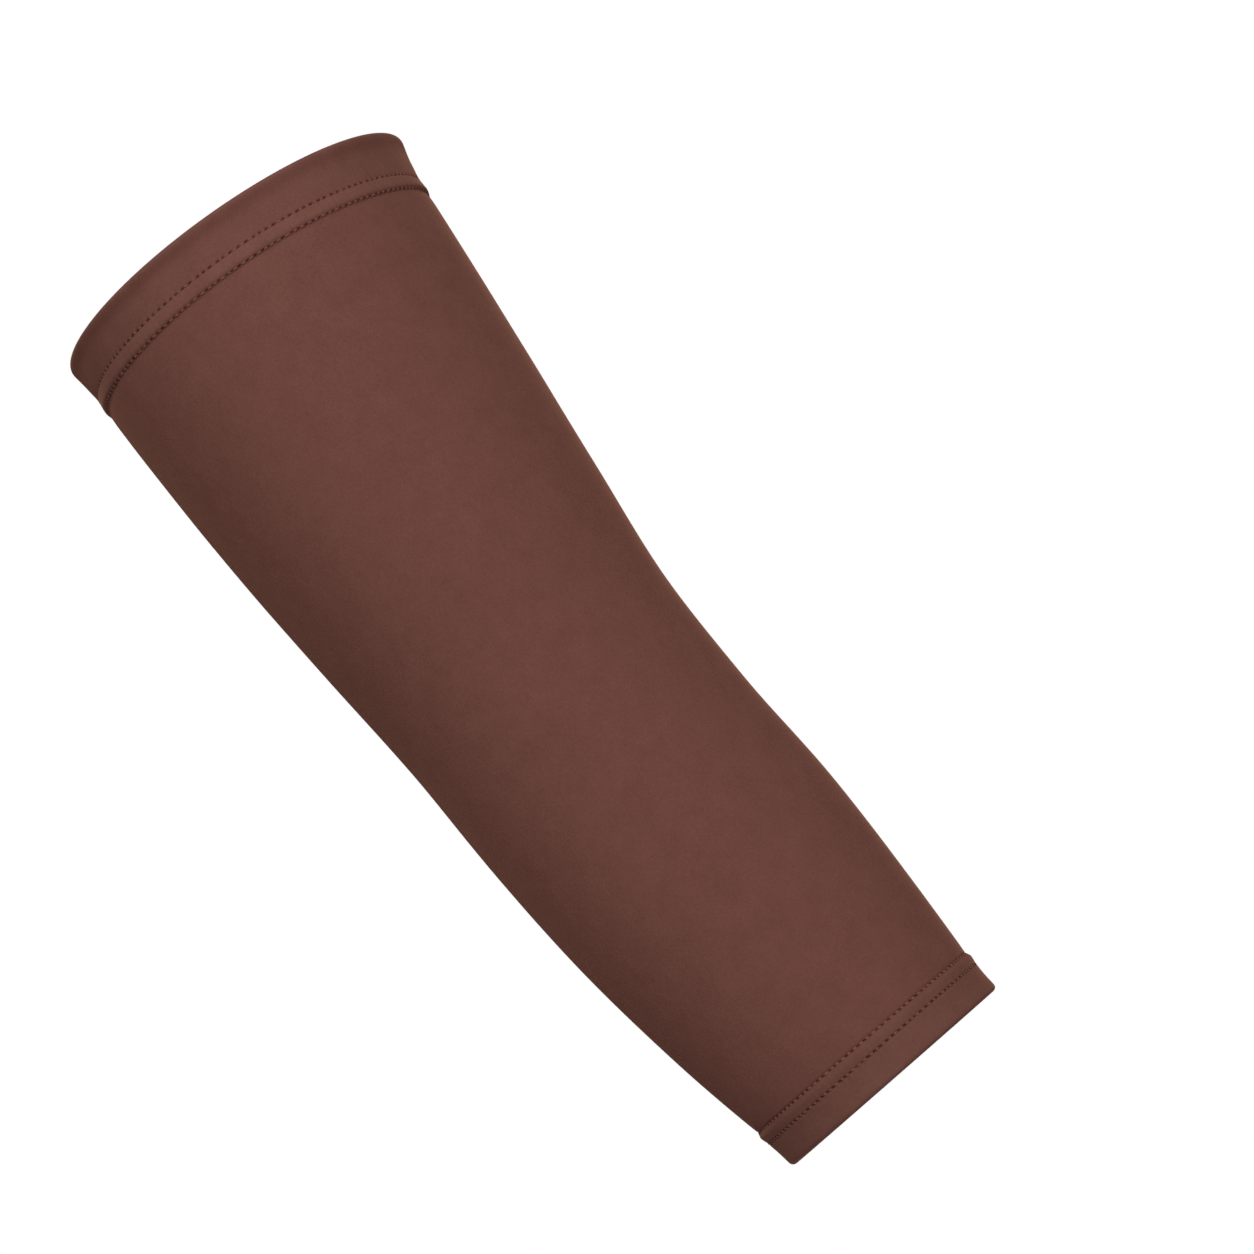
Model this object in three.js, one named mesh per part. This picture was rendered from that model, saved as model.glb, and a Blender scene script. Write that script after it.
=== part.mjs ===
// Stretch-knit sleeve that covers a catheter line: a tube of thin cloth, open and hemmed at both ends, in the
// slightly bent form that it has when it is worn. Millimetres, +Z up. The origin is the centre of the upper,
// wider opening, the narrower end is below it, and -Y is the inside of the bend.

import * as THREE from "three";

const { DEG2RAD, clamp, lerp } = THREE.MathUtils;

// Driving sizes
const sleeveLength = 265; // from folded edge to folded edge, along Z
const clothWall = 1.2; // one layer of knit
const hemProud = 0.5; // how far a hem's double cloth stands out from the sleeve body
const turnedStep = 0.6; // how far its inner layer stands in from the sleeve body
const seamDent = 0.35; // how deep the cloth is drawn in where a hem meets the body
const seamShoulder = 1.5; // length over which the body rises out of that dent
const flareReach = 3.8; // how far from its folded edge a hem still stands off
const pieceGap = 0.3; // between neighbouring pieces
const drumRadius = 40; // of the plain drum that a section is turned around before it is fitted
const sidesAround = 52;
const bodyBands = 28;
const hemBands = 3; // on a hem's faces between its fold and its first groove
const curveSteps = 3; // on each curve of a hem's section
const bodyColour = "#67433b";
const hemColour = "#6b473f"; // two layers of the same knit

// Outer sections of the worn sleeve at equal steps from the upper edge to the lower one: side and back move
// the section's centre along X and Y, and tip and nod turn it about Y and X, in degrees.
const wornSections = [
  { side: 0.0, back: 0.0, width: 100.0, depth: 98.0, tip: 3.0, nod: 1.5 }, // upper opening
  { side: -2.2, back: 0.4, width: 97.0, depth: 97.0, tip: 2.25, nod: 1.1 },
  { side: -4.1, back: 1.1, width: 92.5, depth: 93.5, tip: 1.5, nod: 0.75 },
  { side: -5.5, back: 2.2, width: 86.5, depth: 88.5, tip: 0.75, nod: 0.4 },
  { side: -6.5, back: 2.9, width: 80.5, depth: 81.0, tip: 0.0, nod: 0.0 }, // just above the bend
  { side: -6.4, back: 2.9, width: 79.5, depth: 77.0, tip: -0.5, nod: -0.4 },
  { side: -4.6, back: 2.0, width: 78.5, depth: 74.0, tip: -1.0, nod: -0.75 }, // fullest part below the bend
  { side: -2.6, back: 0.9, width: 73.0, depth: 68.0, tip: -1.75, nod: -1.1 },
  { side: 0.0, back: 0.0, width: 64.5, depth: 60.0, tip: -2.25, nod: -1.5 }, // lower opening
];

// Hems: distances of the two stitched grooves from the folded edge, the depth and half width of the first
// groove, the rise of the ridge between them, and how far the folded edge stands off.
const upperHem = { firstRow: 10.6, secondRow: 15.1, dent: 0.3, dentReach: 0.8, ridge: 0.3, flare: 0.9 };
const lowerHem = { firstRow: 8.1, secondRow: 11.9, dent: 0.25, dentReach: 0.8, ridge: 0.15, flare: 0.25 };

// Smooth curves through the rows of the section table.
function throughSections(toPoint) {
  return new THREE.CatmullRomCurve3(wornSections.map(toPoint), false, "catmullrom", 0.5);
}

const sectionStep = sleeveLength / (wornSections.length - 1);
const centreLine = throughSections((row, i) => new THREE.Vector3(row.side, row.back, -i * sectionStep));
const halfGirth = throughSections((row) => new THREE.Vector3(row.width / 2, row.depth / 2, 0));
const turn = throughSections((row) => new THREE.Vector3(row.tip, row.nod, 0).multiplyScalar(DEG2RAD));

// The point of the worn cloth at a distance below the upper edge, an angle around the sleeve and a rise above
// the sleeve body's outer face.
function clothPoint(below, angle, rise) {
  const along = clamp(below / sleeveLength, 0, 1);
  const half = halfGirth.getPoint(along);
  const lean = turn.getPoint(along);
  const outward = new THREE.Vector2(Math.cos(angle) / half.x, Math.sin(angle) / half.y).normalize();
  const acrossX = half.x * Math.cos(angle) + rise * outward.x;
  const acrossY = half.y * Math.sin(angle) + rise * outward.y;
  const sideways = new THREE.Vector3(Math.cos(lean.x), 0, -Math.sin(lean.x));
  const backwards = new THREE.Vector3(0, Math.cos(lean.y), Math.sin(lean.y));
  return centreLine.getPoint(along).addScaledVector(sideways, acrossX).addScaledVector(backwards, acrossY);
}

// A closed cloth section, drawn as rise against distance below the upper edge, turned around a plain drum
// and then fitted to the worn sections.
function wornRing(name, section, material) {
  const outline = section.map((point) => new THREE.Vector2(drumRadius + point.x, -point.y));
  if (THREE.ShapeUtils.isClockWise(outline)) {
    outline.reverse();
  }
  outline.push(outline[0].clone());
  const geometry = new THREE.LatheGeometry(outline, sidesAround).rotateX(Math.PI / 2);
  const position = geometry.attributes.position;
  for (let i = 0; i < position.count; i += 1) {
    const onDrum = new THREE.Vector3().fromBufferAttribute(position, i);
    const angle = Math.atan2(onDrum.y, onDrum.x);
    const rise = Math.hypot(onDrum.x, onDrum.y) - drumRadius;
    const worn = clothPoint(-onDrum.z, angle, rise);
    position.setXYZ(i, worn.x, worn.y, worn.z);
  }
  geometry.computeVertexNormals();
  const mesh = new THREE.Mesh(geometry, material);
  mesh.name = name;
  return mesh;
}

// Single cloth of the sleeve body, between the hems' second grooves.
function bodySection() {
  const top = upperHem.secondRow + pieceGap;
  const bottom = sleeveLength - lowerHem.secondRow - pieceGap;
  const outer = [new THREE.Vector2(-seamDent, top)];
  const inner = [];
  for (let i = 0; i <= bodyBands; i += 1) {
    const share = i / bodyBands;
    outer.push(new THREE.Vector2(0, lerp(top + seamShoulder, bottom - seamShoulder, share)));
    inner.unshift(new THREE.Vector2(-clothWall, lerp(top, bottom, share)));
  }
  outer.push(new THREE.Vector2(-seamDent, bottom));
  return [...outer, ...inner];
}

// Double cloth of a hem from its folded edge to its second groove, as rise against distance from the edge.
function hemSection({ firstRow, secondRow, dent, dentReach, ridge, flare }) {
  const outerFace = hemProud;
  const innerFace = -clothWall - turnedStep;
  const foldRadius = (outerFace - innerFace) / 2;
  const dentStart = firstRow - dentReach;
  const ridgeStart = firstRow + dentReach;
  const ridgeEnd = secondRow - dentReach;
  const path = new THREE.Path();
  path.absarc(outerFace - foldRadius, foldRadius, foldRadius, Math.PI, 2 * Math.PI);
  for (let i = 1; i <= hemBands; i += 1) {
    path.lineTo(outerFace, lerp(foldRadius, dentStart, i / hemBands));
  }
  path.quadraticCurveTo(outerFace - 2 * dent, firstRow, outerFace, ridgeStart);
  path.quadraticCurveTo(outerFace + 2 * ridge, (ridgeStart + ridgeEnd) / 2, outerFace, ridgeEnd);
  path.quadraticCurveTo(-seamDent, ridgeEnd, -seamDent, secondRow);
  path.lineTo(-clothWall, secondRow);
  path.lineTo(innerFace, ridgeEnd);
  for (let i = hemBands; i > 0; i -= 1) {
    path.lineTo(innerFace, lerp(foldRadius, dentStart, i / hemBands));
  }
  const standOff = (fromEdge) => flare * Math.exp(-((fromEdge / flareReach) ** 2));
  return path.getPoints(curveSteps).map((point) => point.setX(point.x + standOff(point.y)));
}

function clothMaterial(colour) {
  return new THREE.MeshStandardMaterial({ color: colour, roughness: 0.85, metalness: 0 });
}

const fromLowerEdge = (point) => new THREE.Vector2(point.x, sleeveLength - point.y);

const lineCover = new THREE.Group();
lineCover.add(wornRing("sleeve_body", bodySection(), clothMaterial(bodyColour)));
lineCover.add(wornRing("upper_hem", hemSection(upperHem), clothMaterial(hemColour)));
lineCover.add(wornRing("lower_hem", hemSection(lowerHem).map(fromLowerEdge), clothMaterial(hemColour)));

export default lineCover;
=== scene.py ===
import math

import bmesh
import bpy
from mathutils import Matrix, Vector, noise


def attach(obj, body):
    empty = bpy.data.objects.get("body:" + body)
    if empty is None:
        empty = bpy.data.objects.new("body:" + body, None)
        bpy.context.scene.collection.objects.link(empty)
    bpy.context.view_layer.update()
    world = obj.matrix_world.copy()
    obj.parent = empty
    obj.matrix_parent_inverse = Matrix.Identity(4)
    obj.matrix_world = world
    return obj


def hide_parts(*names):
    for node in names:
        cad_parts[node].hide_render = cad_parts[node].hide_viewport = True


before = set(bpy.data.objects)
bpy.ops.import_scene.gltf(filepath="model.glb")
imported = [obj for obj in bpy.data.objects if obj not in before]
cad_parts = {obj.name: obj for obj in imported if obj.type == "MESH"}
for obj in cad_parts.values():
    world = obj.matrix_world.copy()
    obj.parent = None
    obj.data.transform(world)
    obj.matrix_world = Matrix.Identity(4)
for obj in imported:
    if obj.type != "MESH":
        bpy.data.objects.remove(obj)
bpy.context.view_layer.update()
print("frame loaded:", ", ".join(sorted(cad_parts)))

mm = 0.001
fullTurn = 2 * math.pi
weld = 0.004 * mm  # points nearer than this are one

# the worn shape: nine sections at equal steps from the upper edge to the lower one
wornFit = {
    "length": 265 * mm,
    "drum": 40 * mm,  # radius that the cloth is spun at before it is fitted
    "wallMiddle": -0.6 * mm,  # what lies above it is the cloth's outer face
    "seamAngle": math.radians(115),  # the lengthwise seam runs down the back
    "sections": [  # side, back, width, depth in mm, then tip and nod in degrees
        (0.0, 0.0, 100.0, 98.0, 3.0, 1.5),  # upper opening
        (-2.2, 0.4, 97.0, 97.0, 2.25, 1.1),
        (-4.1, 1.1, 92.5, 93.5, 1.5, 0.75),
        (-5.5, 2.2, 86.5, 88.5, 0.75, 0.4),
        (-6.5, 2.9, 80.5, 81.0, 0.0, 0.0),  # just above the bend
        (-6.4, 2.9, 79.5, 77.0, -0.5, -0.4),
        (-4.6, 2.0, 78.5, 74.0, -1.0, -0.75),  # fullest part below the bend
        (-2.6, 0.9, 73.0, 68.0, -1.75, -1.1),
        (0.0, 0.0, 64.5, 60.0, -2.25, -1.5),  # lower opening
    ],
}
knownSections = {}


def sectionAt(below):
    key = round(below, 7)  # to a ten-thousandth of a millimetre
    if key in knownSections:
        return knownSections[key]
    rows = wornFit["sections"]
    share = min(max(below / wornFit["length"], 0), 1)
    run = share * (len(rows) - 1)
    first = min(int(run), len(rows) - 2)
    t = run - first
    values = []
    for column in range(len(rows[first])):  # a smooth curve through the rows
        b = rows[first][column]
        c = rows[first + 1][column]
        a = rows[first - 1][column] if first > 0 else 2 * b - c
        d = rows[first + 2][column] if first + 2 < len(rows) else 2 * c - b
        bend = 2 * a - 5 * b + 4 * c - d + t * (3 * (b - c) + d - a)
        values.append(b + 0.5 * t * (c - a + t * bend))
    side, back, width, depth, tip, nod = values
    tip = math.radians(tip)
    nod = math.radians(nod)
    centre = Vector((side * mm, back * mm, -share * wornFit["length"]))
    sideways = Vector((math.cos(tip), 0, -math.sin(tip)))
    backwards = Vector((0, math.cos(nod), math.sin(nod)))
    knownSections[key] = (centre, sideways, backwards, width * mm / 2, depth * mm / 2)
    return knownSections[key]


def halfWidthAt(below):
    return sectionAt(below)[3]


def clothPoint(below, turn, rise):  # turn is counted from the seam, rise from the body's outer face
    angle = wornFit["seamAngle"] + turn
    centre, sideways, backwards, halfWidth, halfDepth = sectionAt(below)
    out = Vector((math.cos(angle) / halfWidth, math.sin(angle) / halfDepth)).normalized()
    across = halfWidth * math.cos(angle) + rise * out.x
    deep = halfDepth * math.sin(angle) + rise * out.y
    return centre + sideways * across + backwards * deep


def turnOf(vert):
    return math.atan2(vert.co.y, vert.co.x) % fullTurn


def bell(value, width):
    return math.exp(-((value / width) ** 2))


def easeIn(value):
    value = min(max(value, 0), 1)
    return value * value * (3 - 2 * value)


def drawOn(bm, last, station, rise, steps=1):  # carries the section on to a new point
    start = last.co.copy()
    end = Vector((wornFit["drum"] + rise, 0, -station))
    for step in range(steps):
        last = bmesh.ops.extrude_vert_indiv(bm, verts=[last])["verts"][0]
        last.co = start.lerp(end, (step + 1) / steps)
    return last


def spinOn(bm, parts, angle, steps, copies=False):
    bmesh.ops.spin(bm, geom=parts, cent=(0, 0, 0), axis=(0, 0, 1), angle=angle, steps=steps,
                   use_duplicate=copies)


def repeatRound(bm, step, copies):  # what is there, again at each step round the drum
    spinOn(bm, bm.verts[:] + bm.edges[:] + bm.faces[:], step * (copies - 1), copies - 1, True)


def joinIn(bm, part):
    carrier = bpy.data.meshes.new("carrier")
    part.to_mesh(carrier)
    part.free()
    bm.from_mesh(carrier)
    bpy.data.meshes.remove(carrier)


def layClothMap(bm, belowAt):  # UVs that follow the cloth round and along
    uvs = bm.loops.layers.uv.new("cloth")
    for face in bm.faces:
        turns = [turnOf(loop.vert) for loop in face.loops]
        wraps = max(turns) - min(turns) > math.pi
        for loop, turn in zip(face.loops, turns):
            below = belowAt(-loop.vert.co.z, turn)
            if wraps and turn < math.pi:
                turn += fullTurn
            loop[uvs].uv = (turn / fullTurn, below / wornFit["length"])


def fitToWorn(bm, belowAt, relief):  # from the drum to the worn shape
    # painted shade of the needle holes, the second row's groove and the strip below the fold
    marks = bm.verts.layers.float.new("paintedShade")
    for vert in bm.verts:
        turn = turnOf(vert)
        station = -vert.co.z
        rise = math.hypot(vert.co.x, vert.co.y) - wornFit["drum"]
        lift, mark = relief(station, turn, rise)
        vert[marks] = mark
        vert.co = clothPoint(belowAt(station, turn), turn, rise + lift)
    bm.normal_update()
    bmesh.ops.recalc_face_normals(bm, faces=bm.faces[:])
    for face in bm.faces:
        face.smooth = True


def settle(name, bm, node, finish):
    mesh = bpy.data.meshes.new(name)
    bm.to_mesh(mesh)
    bm.free()
    mesh.materials.append(finish)
    piece = bpy.data.objects.new(name, mesh)
    bpy.context.scene.collection.objects.link(piece)
    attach(piece, "root")
    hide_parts(node)
    print(name, "has", sum(len(face.vertices) - 2 for face in mesh.polygons), "triangles")
    return piece


class Wire:  # a socket that adds Math nodes when it is used in a sum
    def __init__(self, tree, node=None, out=0):
        self.tree = tree
        self.node = node
        self.socket = node.outputs[out] if node and len(node.outputs) else None

    def add(self, kind, settings={}, sockets={}, out=0):
        node = self.tree.nodes.new(kind)
        for name, value in settings.items():
            setattr(node, name, value)
        for name, value in sockets.items():
            if isinstance(value, Wire):
                self.tree.links.new(value.socket, node.inputs[name])
            else:
                node.inputs[name].default_value = value
        return Wire(self.tree, node, out)

    def other(self, out):
        return Wire(self.tree, self.node, out)

    def math(self, operation, *values):
        return self.add("ShaderNodeMath", {"operation": operation}, dict(enumerate(values)))

    def blend(self, first, second):  # two colours mixed by this value
        return self.add("ShaderNodeMix", {"data_type": "RGBA"}, {0: self, 6: first, 7: second}, 2)

    def __add__(self, value):
        return self.math("ADD", self, value)

    def __radd__(self, value):
        return self.math("ADD", value, self)

    def __sub__(self, value):
        return self.math("SUBTRACT", self, value)

    def __rsub__(self, value):
        return self.math("SUBTRACT", value, self)

    def __mul__(self, value):
        return self.math("MULTIPLY", self, value)

    def __rmul__(self, value):
        return self.math("MULTIPLY", value, self)


def startMaterial(name):
    material = bpy.data.materials.new(name)
    material.use_nodes = True
    material.node_tree.nodes.clear()
    return material, Wire(material.node_tree)


knitFinish = {
    "face": (0.1625, 0.0679, 0.0541, 1),
    "shade": (0.1155, 0.0461, 0.0359, 1),  # the darker tone of the mottle, and painted shade between the loops
    # colour of the painted shade in the needle holes, the second row's groove and below the fold
    "hole": (0.050, 0.0114, 0.0062, 1),
    "wales": 520,  # columns of loops around
    "courses": 620,  # rows of loops along
    "waleRise": 0.13,  # shares of the height
    "loopRise": 0.16,
    "grainRise": 0.5,
    "loopHeight": 0.05 * mm,
    "bump": 0.6,
    "loopTone": 0.04,  # how much painted shade the hollows between the loops get, and how much the grain shows in the colour
    "grainTone": 0.7,
    "toneDrop": 0.4,  # brings the mixed tones back to the middle
    "mottle": {"Scale": 150, "Detail": 6, "Roughness": 0.7},
    "grain": {"Scale": 1300, "Detail": 2, "Roughness": 0.6},
    "roughness": 0.74,
    "roughnessSwing": 0.16,
    "sheen": 0.15,
    "sheenRoughness": 0.36,
    "sheenTint": (0.92, 0.42, 0.27, 1),
}


def knitMaterial(name, tint):
    finish = knitFinish
    material, pen = startMaterial(name)
    uv = pen.add("ShaderNodeUVMap", {"uv_map": "cloth"})
    split = pen.add("ShaderNodeSeparateXYZ", {}, {0: uv})
    wale = split * finish["wales"]
    course = split.other("Y") * finish["courses"]
    rib = pen.math("COSINE", wale * fullTurn)
    lean = pen.math("PINGPONG", wale, 0.5)
    loops = pen.math("COSINE", (course + lean) * fullTurn)
    height = 0.5 + rib * finish["waleRise"] + loops * finish["loopRise"]
    place = pen.add("ShaderNodeTexCoord", {}, {}, "Object")
    mottle = pen.add("ShaderNodeTexNoise", {}, {"Vector": place, **finish["mottle"]})
    grain = pen.add("ShaderNodeTexNoise", {}, {"Vector": place, **finish["grain"]})
    tone = mottle + (grain * finish["grainTone"] - finish["toneDrop"])
    # mottle and grain are the cloth's own uneven tone; the loops' relief adds painted shade in its
    # hollows
    cloth = (tone + height * finish["loopTone"]).blend(finish["shade"], finish["face"])
    cloth = pen.add("ShaderNodeVectorMath", {"operation": "MULTIPLY"}, {0: cloth, 1: tint})
    # the painted shade of the holes, the groove and the fold is mixed into the cloth
    mark = pen.add("ShaderNodeAttribute", {"attribute_name": "paintedShade"}, {}, "Fac")
    colour = mark.blend(cloth, finish["hole"])
    bump = pen.add("ShaderNodeBump", {}, {
        "Strength": finish["bump"],
        "Distance": finish["loopHeight"],
        "Height": height + grain * finish["grainRise"],
    })
    shader = pen.add("ShaderNodeBsdfPrincipled", {}, {
        "Base Color": colour,
        "Roughness": finish["roughness"] + (mottle - 0.5) * finish["roughnessSwing"],
        "Normal": bump,
        "Specular IOR Level": 0,
        "Sheen Weight": finish["sheen"],
        "Sheen Roughness": finish["sheenRoughness"],
        "Sheen Tint": finish["sheenTint"],
    })
    pen.add("ShaderNodeOutputMaterial", {}, {"Surface": shader})
    return material


threadFinish = {
    # lighter than the cloth: a painted highlight on the threads that offsets the shade of the groove
    "light": (0.27, 0.124, 0.1, 1),
    "dark": (0.156, 0.065, 0.051, 1),  # painted shade between the plies
    "plies": 3,
    "twist": 4,  # turns of the plies in a stitch
    "plyHeight": 0.05 * mm,
    "bump": 0.7,
    "plyTone": 0.6,  # shares of the colour: the painted shade of the plies, and the fuzz
    "fuzzTone": 0.4,
    "fuzz": {"Scale": 2600, "Detail": 2},
    "roughness": 0.75,
    "roughnessSwing": 0.1,
    "gloss": 0.03,
}


def threadMaterial():
    finish = threadFinish
    material, pen = startMaterial("sewing thread")
    uv = pen.add("ShaderNodeUVMap", {"uv_map": "thread"})
    split = pen.add("ShaderNodeSeparateXYZ", {}, {0: uv})
    twist = pen.math("SINE", (split * finish["plies"] + split.other("Y") * finish["twist"]) * fullTurn)
    ply = 0.5 + twist * 0.5
    place = pen.add("ShaderNodeTexCoord", {}, {}, "Object")
    fuzz = pen.add("ShaderNodeTexNoise", {}, {"Vector": place, **finish["fuzz"]})
    # painted shade between the plies, following the ply relief, and the fuzz's own tone
    tone = ply * finish["plyTone"] + fuzz * finish["fuzzTone"]
    colour = tone.blend(finish["dark"], finish["light"])
    bump = pen.add("ShaderNodeBump", {}, {
        "Strength": finish["bump"],
        "Distance": finish["plyHeight"],
        "Height": ply,
    })
    shader = pen.add("ShaderNodeBsdfPrincipled", {}, {
        "Base Color": colour,
        "Roughness": finish["roughness"] + fuzz * finish["roughnessSwing"],
        "Normal": bump,
        "Specular IOR Level": finish["gloss"],
    })
    pen.add("ShaderNodeOutputMaterial", {}, {"Surface": shader})
    return material


knit = knitMaterial("knit cloth", (1, 1, 1))
thread = threadMaterial()
print("finishes made")

sideSeam = {
    "crease": 0.4 * mm,
    "creaseWidth": 0.35 * mm,
    "lip": 0.22 * mm,  # the cloth rounds over on both sides of the crease
    "lipAt": 0.95 * mm,
    "lipWidth": 0.5 * mm,
    "allowance": 2.6 * mm,  # half the width of the sewn edges inside
    "allowanceEdge": 0.5 * mm,  # they thin out over this
    "inside": 0.6 * mm,
    "reach": 5 * mm,  # no trace of the seam past this
}


def seamRelief(below, turn, outside):
    off = min(turn, fullTurn - turn) * halfWidthAt(below)
    if off > sideSeam["reach"]:
        return 0
    if outside:
        lip = sideSeam["lip"] * bell(off - sideSeam["lipAt"], sideSeam["lipWidth"])
        return lip - sideSeam["crease"] * bell(off, sideSeam["creaseWidth"])
    return -sideSeam["inside"] * easeIn((sideSeam["allowance"] - off) / sideSeam["allowanceEdge"])


upperHem = {
    "edge": 0,  # where its fold is, and which way its stations run from there
    "way": 1,
    "firstRow": 10.35 * mm,  # rows of stitches, from the folded edge
    "secondRow": 14.9 * mm,  # the hem's end, just past its second row
    "deeper": 1.8 * mm,  # how much deeper the hem is at its deepest side
    "deepSide": math.radians(345),
    "deepReach": math.radians(50),
    "stitches": 147,
    "tint": (1.065, 1.1, 1.1),  # painted sheen: the double layer is made a little lighter and greyer
    "proud": 0.45 * mm,
    "inner": -1.8 * mm,
    "flare": 0.9 * mm,  # the free edge stands off a little
    "flareSide": 0.3 * mm,  # more so at the front and the outer side
    "dent": 0.09 * mm,
    "ramp": 0.42 * mm,  # the cloth climbs from the first row to the ridge above the second
    "ridge": 0,  # a swelling between the rows
    "drop": 1.8 * mm,  # how far from the second row the hem turns down
    "curl": 1.7,  # how sharply it turns down
    "foot": -0.2 * mm,  # its end goes in under the body cloth
    "hole": 0.18 * mm,  # depth of a needle hole
    "size": 1.0,  # of the holes, as a share of the sizes below
    "holeIn": 0.5 * mm,  # the second row's holes, this far inside the hem's end
    "crease": 0.22,  # painted shade along the second row's groove, on the hem and on the body cloth beside it
    "foldShade": 0.24,  # painted shade: a darker strip just below the fold
    "dip": -0.15 * mm,  # the body cloth draws in here
}
lowerHem = {
    "edge": wornFit["length"],
    "way": -1,
    "firstRow": 7.9 * mm,
    "secondRow": 11.9 * mm,
    "deeper": 0,
    "deepSide": 0,
    "deepReach": 1,
    "stitches": 112,
    "tint": (0.98, 1.02, 1.02),
    "proud": 0.52 * mm,
    "inner": -1.8 * mm,
    "flare": 0.45 * mm,
    "flareSide": 0.2 * mm,
    "dent": 0.1 * mm,
    "ramp": 0,
    "ridge": 0.13 * mm,
    "drop": 1.9 * mm,
    "curl": 1.4,
    "foot": -0.3 * mm,
    "hole": 0.18 * mm,
    "size": 1.05,
    "holeIn": 0.45 * mm,
    "crease": 0,
    "foldShade": 0,
    "dip": -0.04 * mm,
}
hemForm = {  # what the two hems share
    "dentWidth": 0.55 * mm,
    "ridgeWidth": 1.1 * mm,
    "rampReach": 3 * mm,  # how far before the first row the cloth starts to sink
    "climb": 0.75,  # share of the way between the rows on which it rises again
    "flareReach": 3.8 * mm,
    "flareTurn": math.pi / 4,  # from the outer side to where it flares most
    # the width of the painted shade along the second row
    "creaseWidth": 0.9 * mm,
    "foldShadeAt": 2.4 * mm,  # where the painted shade below the fold lies, from the folded edge
    "foldShadeWidth": 1.5 * mm,
    "seamEase": 2 * mm,  # inside, the seam starts over this
    "rowReach": 1.1 * mm,  # finer faces around the first row
    "endReach": 1.5 * mm,  # and before the hem's end
    "foldSteps": 12,
    "edgeSteps": 10,
    "rowSteps": 11,
    "ridgeSteps": 5,
    "endSteps": 9,
    "wallSteps": 2,
    "innerSteps": 10,
    "nearFace": 0.01 * mm,  # points this near the outer face are on it
}
needle = {
    "perStitch": 8,  # columns of faces to a stitch on the hems
    "together": 7,  # stitches spun at a time
    "along": 0.52 * mm,  # half size of a hole along the row
    "across": 0.22 * mm,
    "holeShade": 1.4,  # how fully the painted shade fills a hole
    "pucker": 0.05 * mm,  # the cloth swells between the holes and sinks at them
    "puckerAlong": 0.8 * mm,
    "puckerAcross": 1.3 * mm,
    "slant": 0.15,  # a hole leans toward the fold at one end
    "uneven": 0.5,  # how much the holes differ
    "unevenStep": 0.73,  # steps through the noise, from hole to hole and from row to row
    "rowStep": 900,
    "unevenLine": 0.5,
    "wander": 0.34,  # how far a stitch may be off its even place, in stitches
    "wanderStep": 1.37,
    "wanderLine": (0.5, 7.5),  # its own line through the noise
}


def deeperAt(hem, turn):
    off = (wornFit["seamAngle"] + turn - hem["deepSide"] + math.pi) % fullTurn - math.pi
    return hem["deeper"] * bell(off, hem["deepReach"])


def belowOnHem(hem, station, turn):  # a hem's station as a distance below the upper edge
    return hem["edge"] + hem["way"] * (station + deeperAt(hem, turn) * easeIn(station / hem["firstRow"]))


def hemFace(hem, station):  # height of the hem's outer face over the cloth
    first = hem["firstRow"]
    second = hem["secondRow"]
    climb = max(station - first, 0) / (second - first) / hemForm["climb"]
    fall = max((station - second + hem["drop"]) / hem["drop"], 0)
    height = hem["proud"] - hem["dent"] * bell(station - first, hemForm["dentWidth"])
    height += hem["ridge"] * bell(station - (first + second) / 2, hemForm["ridgeWidth"])
    if station < first:
        height -= hem["ramp"] * bell(station - first, hemForm["rampReach"])
    else:
        height -= hem["ramp"] * max(1 - climb, 0)
    return height - (hem["proud"] - hem["foot"]) * min(fall, 1) ** hem["curl"]


def hemFlare(hem, station, turn):
    angle = wornFit["seamAngle"] + turn + hemForm["flareTurn"]
    amount = hem["flare"] + hem["flareSide"] * math.cos(angle)
    return amount * bell(station, hemForm["flareReach"])


def wanderAt(hem, place):  # place counts the stitches round the hem
    before = math.floor(place)
    shifts = []
    for number in (before, before + 1):
        spot = (number % hem["stitches"] * needle["wanderStep"], *needle["wanderLine"])
        shifts.append(needle["wander"] * noise.noise(spot))
    return shifts[0] + (shifts[1] - shifts[0]) * (place - before)


def stitchOffset(hem, below, turn):  # distance along the row from the nearest needle hole
    pitch = fullTurn / hem["stitches"]
    place = turn / pitch
    place -= wanderAt(hem, place)
    return (place - round(place)) * pitch * halfWidthAt(below)


def holeStrength(hem, row, turn):  # no two needle holes are drawn quite alike
    number = round(turn / fullTurn * hem["stitches"]) % hem["stitches"]
    spot = (number * needle["unevenStep"], row * needle["rowStep"], needle["unevenLine"])
    return 1 + needle["uneven"] * noise.noise(spot)


def foldRadius(hem):
    return (hem["proud"] - hem["inner"]) / 2


def hemSection(hem):  # round the fold, along the outer face to the hem's end and back inside
    first = hem["firstRow"]
    second = hem["secondRow"]
    radius = foldRadius(hem)
    bm = bmesh.new()
    start = bm.verts.new((wornFit["drum"] + hem["inner"], 0, -radius))
    middle = (wornFit["drum"] + hem["inner"] + radius, 0, -radius)
    fold = bmesh.ops.spin(bm, geom=[start], cent=middle, axis=(0, 1, 0), angle=math.pi,
                          steps=hemForm["foldSteps"])
    tip = [part for part in fold["geom_last"] if isinstance(part, bmesh.types.BMVert)][0]
    tip = drawOn(bm, tip, first - hemForm["rowReach"], hem["proud"], hemForm["edgeSteps"])
    tip = drawOn(bm, tip, first + hemForm["rowReach"], hem["proud"], hemForm["rowSteps"])
    tip = drawOn(bm, tip, second - hemForm["endReach"], hem["proud"], hemForm["ridgeSteps"])
    tip = drawOn(bm, tip, second, hem["proud"], hemForm["endSteps"])
    tip = drawOn(bm, tip, second, hem["inner"], hemForm["wallSteps"])
    tip = drawOn(bm, tip, radius, hem["inner"], hemForm["innerSteps"])
    bmesh.ops.remove_doubles(bm, verts=[tip, start], dist=weld)
    return bm


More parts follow.
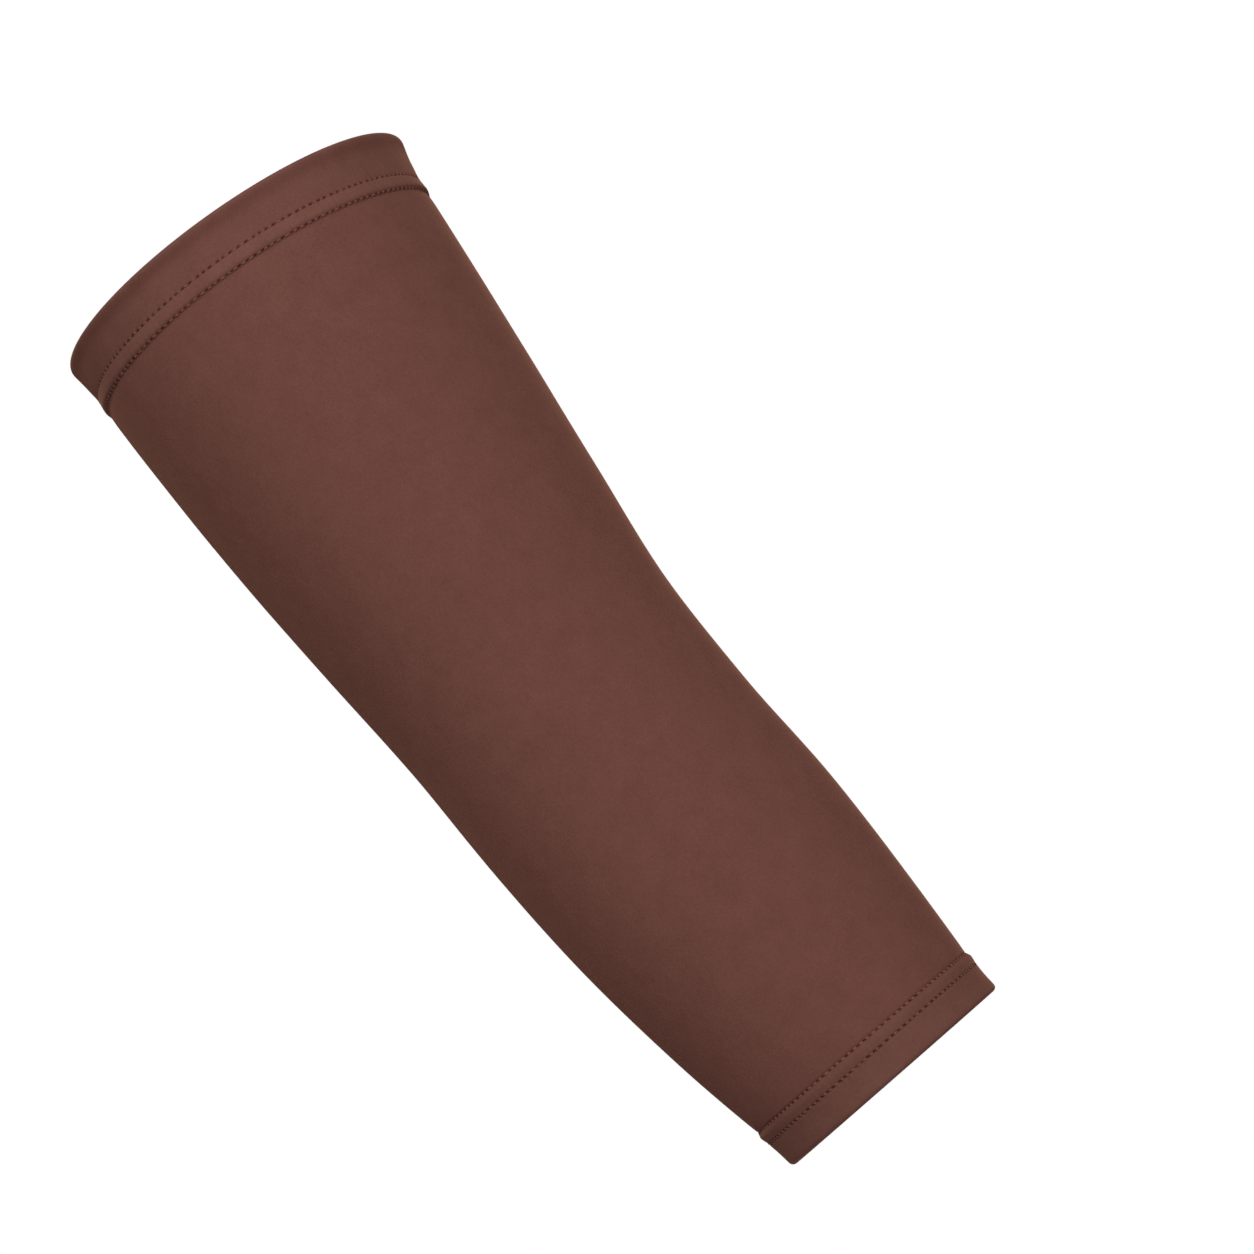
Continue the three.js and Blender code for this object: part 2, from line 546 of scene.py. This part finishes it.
def hemBand(hem, name, node):
    first = hem["firstRow"]
    second = hem["secondRow"]
    bm = hemSection(hem)
    stretches = hem["stitches"] // needle["together"]
    spinOn(bm, bm.verts[:] + bm.edges[:], fullTurn / stretches, needle["together"] * needle["perStitch"])
    repeatRound(bm, fullTurn / stretches, stretches)
    bmesh.ops.remove_doubles(bm, verts=bm.verts[:], dist=weld)

    def belowAt(station, turn):
        return belowOnHem(hem, station, turn)

    def relief(station, turn, rise):
        below = belowAt(station, turn)
        lift = seamRelief(below, turn, rise > wornFit["wallMiddle"])
        if rise < hem["proud"] - hemForm["nearFace"]:  # the fold, the hem's end and its inner face
            lift *= easeIn((station - foldRadius(hem)) / hemForm["seamEase"])
            return lift + hemFlare(hem, station, turn), 0
        lift += hemFace(hem, station) - hem["proud"] + hemFlare(hem, station, turn)
        off = stitchOffset(hem, below, turn)
        mark = 0
        # each needle hole is sunk and given painted shade
        for row in (first, second - hem["holeIn"]):
            leaning = station - row + needle["slant"] * off
            spot = bell(off, needle["along"] * hem["size"])
            spot *= bell(leaning, needle["across"] * hem["size"])
            spot *= holeStrength(hem, row, turn)
            lift -= hem["hole"] * spot
            swell = 1 - 2 * bell(off, needle["puckerAlong"])
            lift += needle["pucker"] * swell * bell(station - row, needle["puckerAcross"])
            mark = max(mark, min(needle["holeShade"] * spot, 1))
        # painted shade along the groove of the second row
        crease = bell(station - second + hem["holeIn"], hemForm["creaseWidth"])
        # painted shade in a strip below the fold
        foldShade = bell(station - hemForm["foldShadeAt"], hemForm["foldShadeWidth"])
        return lift, max(mark, hem["crease"] * crease, hem["foldShade"] * foldShade)

    layClothMap(bm, belowAt)
    fitToWorn(bm, belowAt, relief)
    return settle(name, bm, node, knitMaterial(name + " knit", hem["tint"]))


upperBand = hemBand(upperHem, "upper_hem_band", "upper_hem")
lowerBand = hemBand(lowerHem, "lower_hem_band", "lower_hem")
print("hems turned and fitted")

bodyCloth = {
    "inner": -1.2 * mm,
    "tuck": 0.8 * mm,  # how far the cloth runs on inside each hem
    "tuckSlope": 0.9,  # and how steeply it goes down there
    "shoulder": 4 * mm,  # how far from a hem it has risen again
    "evenOut": 60 * mm,  # and how far from the upper hem its rows run level
    "columns": 294,
    "together": 10,  # columns spun at a time
    "seamColumns": 4,  # columns across the seam, made finer
    "seamSteps": 20,
    "tuckSteps": 2,  # faces along
    "shoulderSteps": 9,
    "faceSteps": 116,
    "innerSteps": 70,
    "soft": 0.10 * mm,  # slow unevenness of the stretched cloth
    "softSize": 26 * mm,
    "pull": 0.12 * mm,  # the cloth draws in at each needle hole
    "pullAlong": 0.6 * mm,
    "pullAcross": 1.6 * mm,
    "pullReach": 6 * mm,
}


def bodySection(top, bottom):
    cloth = bodyCloth
    bm = bmesh.new()
    start = bm.verts.new((wornFit["drum"], 0, cloth["tuck"] - top))
    tip = drawOn(bm, start, top, 0, cloth["tuckSteps"])
    tip = drawOn(bm, tip, top + cloth["shoulder"], 0, cloth["shoulderSteps"])
    tip = drawOn(bm, tip, bottom - cloth["shoulder"], 0, cloth["faceSteps"])
    tip = drawOn(bm, tip, bottom, 0, cloth["shoulderSteps"])
    tip = drawOn(bm, tip, bottom + cloth["tuck"], 0, cloth["tuckSteps"])
    tip = drawOn(bm, tip, bottom + cloth["tuck"], cloth["inner"])
    tip = drawOn(bm, tip, top - cloth["tuck"], cloth["inner"], cloth["innerSteps"])
    tip = drawOn(bm, tip, top - cloth["tuck"], 0)
    bmesh.ops.remove_doubles(bm, verts=[tip, start], dist=weld)
    return bm


def bodyPanel():
    cloth = bodyCloth
    top = upperHem["secondRow"]
    bottom = wornFit["length"] - lowerHem["secondRow"]
    step = fullTurn / cloth["columns"]
    half = cloth["seamColumns"] / 2 * step
    bm = bodySection(top, bottom)
    bmesh.ops.rotate(bm, verts=bm.verts[:], cent=(0, 0, 0), matrix=Matrix.Rotation(half, 3, "Z"))
    spinOn(bm, bm.verts[:] + bm.edges[:], step * cloth["together"], cloth["together"])
    stretches = (cloth["columns"] - cloth["seamColumns"]) // cloth["together"]
    repeatRound(bm, step * cloth["together"], stretches)
    seam = bodySection(top, bottom)
    bmesh.ops.rotate(seam, verts=seam.verts[:], cent=(0, 0, 0), matrix=Matrix.Rotation(-half, 3, "Z"))
    spinOn(seam, seam.verts[:] + seam.edges[:], 2 * half, cloth["seamSteps"])
    joinIn(bm, seam)
    bmesh.ops.remove_doubles(bm, verts=bm.verts[:], dist=weld)

    def belowAt(station, turn):  # the deeper side of the upper hem pushes the cloth down
        return station + deeperAt(upperHem, turn) * (1 - easeIn((station - top) / cloth["evenOut"]))

    def relief(station, turn, rise):
        outside = rise > wornFit["wallMiddle"]
        lift = seamRelief(station, turn, outside)
        mark = 0
        if not outside:
            return lift, mark
        for gap, hem in ((station - top, upperHem), (bottom - station, lowerHem)):
            if gap < cloth["shoulder"]:
                sink = hem["dip"] * (1 - max(gap, 0) / cloth["shoulder"]) ** 2
                lift += sink + min(gap, 0) * cloth["tuckSlope"]
                # painted shade on the body cloth beside the second row
                mark += hem["crease"] * bell(gap + hem["holeIn"], hemForm["creaseWidth"])
            if gap < cloth["pullReach"]:
                pull = cloth["pull"] * bell(stitchOffset(hem, station, turn), cloth["pullAlong"])
                lift -= pull * bell(gap, cloth["pullAcross"])
        lift += cloth["soft"] * noise.noise(clothPoint(station, turn, 0) / cloth["softSize"])
        return lift, mark

    layClothMap(bm, belowAt)
    fitToWorn(bm, belowAt, relief)
    return settle("sleeve_cloth", bm, "sleeve_body", knit)


sleeveCloth = bodyPanel()
print("body cloth fitted")

stitching = {
    "length": 1.05 * mm,  # of the thread that shows between two holes
    "width": 0.36 * mm,
    "height": 0.26 * mm,
    "proud": (0.07 * mm, -0.03 * mm),  # how far its middle stands over the cloth, in each row
    "innerShift": 0.2 * mm,  # inside, the rows are nearer the fold
    "innerProud": 0.03 * mm,
    "sides": 6,
    "rings": 5,
}


def stitchRow(hem, station, rise):
    scale = wornFit["drum"] / halfWidthAt(belowOnHem(hem, station, 0))
    pitch = fullTurn / hem["stitches"]
    across = Vector((0, 0, stitching["width"] / 2))
    out = Vector((stitching["height"] / 2, 0, 0))
    along = Vector((0, stitching["length"] / 2 * scale, 0))
    place = Matrix((across, out, along)).transposed().to_4x4()
    place.translation = (wornFit["drum"] + rise, 0, -station)
    row = bmesh.new()
    row.loops.layers.uv.new("thread")
    betweenHoles = Matrix.Rotation(pitch / 2, 4, "Z") @ place
    bmesh.ops.create_uvsphere(row, u_segments=stitching["sides"], v_segments=stitching["rings"],
                              radius=1, matrix=betweenHoles, calc_uvs=True)
    repeatRound(row, pitch, needle["together"])
    repeatRound(row, pitch * needle["together"], hem["stitches"] // needle["together"])
    return row


def stitchPiece(hem, name, node):
    bm = bmesh.new()
    bm.loops.layers.uv.new("thread")
    rows = (hem["firstRow"], hem["secondRow"] - hem["holeIn"])
    inside = hem["inner"] - stitching["innerProud"]
    for station, proud in zip(rows, stitching["proud"]):
        joinIn(bm, stitchRow(hem, station, hemFace(hem, station) + proud))
        joinIn(bm, stitchRow(hem, station - stitching["innerShift"], inside))
    pitch = fullTurn / hem["stitches"]
    for vert in bm.verts:  # as unevenly spaced as the holes
        vert.co.rotate(Matrix.Rotation(pitch * wanderAt(hem, turnOf(vert) / pitch), 3, "Z"))

    def belowAt(station, turn):
        return belowOnHem(hem, station, turn)

    def plain(station, turn, rise):
        return 0, 0

    fitToWorn(bm, belowAt, plain)
    return settle(name, bm, node, thread)


upperStitches = stitchPiece(upperHem, "upper_hem_stitches", "upper_hem")
lowerStitches = stitchPiece(lowerHem, "lower_hem_stitches", "lower_hem")
print("stitches laid")

studio = {
    "floorAt": -0.8,
    "floorReach": 2.4,
    "floorSides": 96,
    "floorTones": ((0.86, 0.86, 0.86, 1), (0.90, 0.90, 0.90, 1)),
    "floorCloud": {"Scale": 3, "Detail": 2},
    "floorRoughness": 0.9,
    "front": (0.062, 0.056, 0.047, 1),  # soft light that comes from in front
    "back": (1, 1, 1, 1),  # and from the backdrop
    "backStart": 0.1,  # where the one passes into the other, as the Y of its direction
    "backFull": 0.7,
    "backdrop": 1.0,  # how bright it is to the camera
    "key": {"at": (0.36, -1.85, 1.25), "size": 0.6, "power": 52},
}


def studioLight(name, light):
    lamp = bpy.data.lights.new(name, "AREA")
    lamp.shape = "DISK"
    lamp.size = light["size"]
    lamp.energy = light["power"]
    holder = bpy.data.objects.new(name, lamp)
    holder.location = light["at"]
    toward = Vector((0, 0, -wornFit["length"] / 2)) - holder.location
    holder.rotation_euler = toward.to_track_quat("-Z", "Y").to_euler()
    bpy.context.scene.collection.objects.link(holder)


def studioFloor():
    material, pen = startMaterial("pale floor")
    place = pen.add("ShaderNodeTexCoord", {}, {}, "Object")
    cloud = pen.add("ShaderNodeTexNoise", {}, {"Vector": place, **studio["floorCloud"]})
    shader = pen.add("ShaderNodeBsdfPrincipled", {}, {
        "Base Color": cloud.blend(*studio["floorTones"]),
        "Roughness": studio["floorRoughness"],
    })
    pen.add("ShaderNodeOutputMaterial", {}, {"Surface": shader})
    bm = bmesh.new()
    bmesh.ops.create_circle(bm, cap_ends=True, segments=studio["floorSides"],
                            radius=studio["floorReach"])
    bmesh.ops.translate(bm, verts=bm.verts[:], vec=(0, 0, studio["floorAt"]))
    mesh = bpy.data.meshes.new("studio_floor")
    bm.to_mesh(mesh)
    bm.free()
    mesh.materials.append(material)
    floor = bpy.data.objects.new("studio_floor", mesh)
    bpy.context.scene.collection.objects.link(floor)


def studioWorld():
    world = bpy.data.worlds.new("studio")
    world.use_nodes = True
    world.node_tree.nodes.clear()
    pen = Wire(world.node_tree)
    seen = pen.add("ShaderNodeLightPath", {}, {}, "Is Camera Ray")
    way = pen.add("ShaderNodeTexCoord", {}, {}, "Generated")
    behind = pen.add("ShaderNodeSeparateXYZ", {}, {0: way}, "Y")
    glow = pen.add("ShaderNodeMapRange", {"interpolation_type": "SMOOTHSTEP"}, {
        "Value": behind,
        "From Min": studio["backStart"],
        "From Max": studio["backFull"],
    })
    soft = pen.add("ShaderNodeBackground", {}, {"Color": glow.blend(studio["front"], studio["back"])})
    white = pen.add("ShaderNodeBackground", {}, {"Color": (1, 1, 1, 1), "Strength": studio["backdrop"]})
    both = pen.add("ShaderNodeMixShader", {}, {0: seen, 1: soft, 2: white})
    pen.add("ShaderNodeOutputWorld", {}, {"Surface": both})
    bpy.context.scene.world = world


studioLight("key light", studio["key"])
studioFloor()
studioWorld()
print("studio set")

photoCamera = {
    "target": Vector((18.3, 0, -136.75)) * mm,
    "distance": 0.85,
    "lift": math.radians(-6.9),  # looks up a little
    "roll": math.radians(38.9),
    "lens": 97.6,
    "sensor": 36,
    "clip": 0.01,
}


def placeCamera():
    camera = bpy.data.cameras.new("photo camera")
    camera.lens = photoCamera["lens"]
    camera.sensor_width = photoCamera["sensor"]
    camera.clip_start = photoCamera["clip"]
    holder = bpy.data.objects.new("photo camera", camera)
    back = Vector((0, -math.cos(photoCamera["lift"]), math.sin(photoCamera["lift"])))
    aim = (-back).to_track_quat("-Z", "Y").to_matrix().to_4x4()
    place = Matrix.Translation(photoCamera["target"] + back * photoCamera["distance"])
    holder.matrix_world = place @ aim @ Matrix.Rotation(-photoCamera["roll"], 4, "Z")
    bpy.context.scene.collection.objects.link(holder)
    bpy.context.scene.camera = holder


placeCamera()
bpy.context.scene.view_settings.view_transform = "Standard"
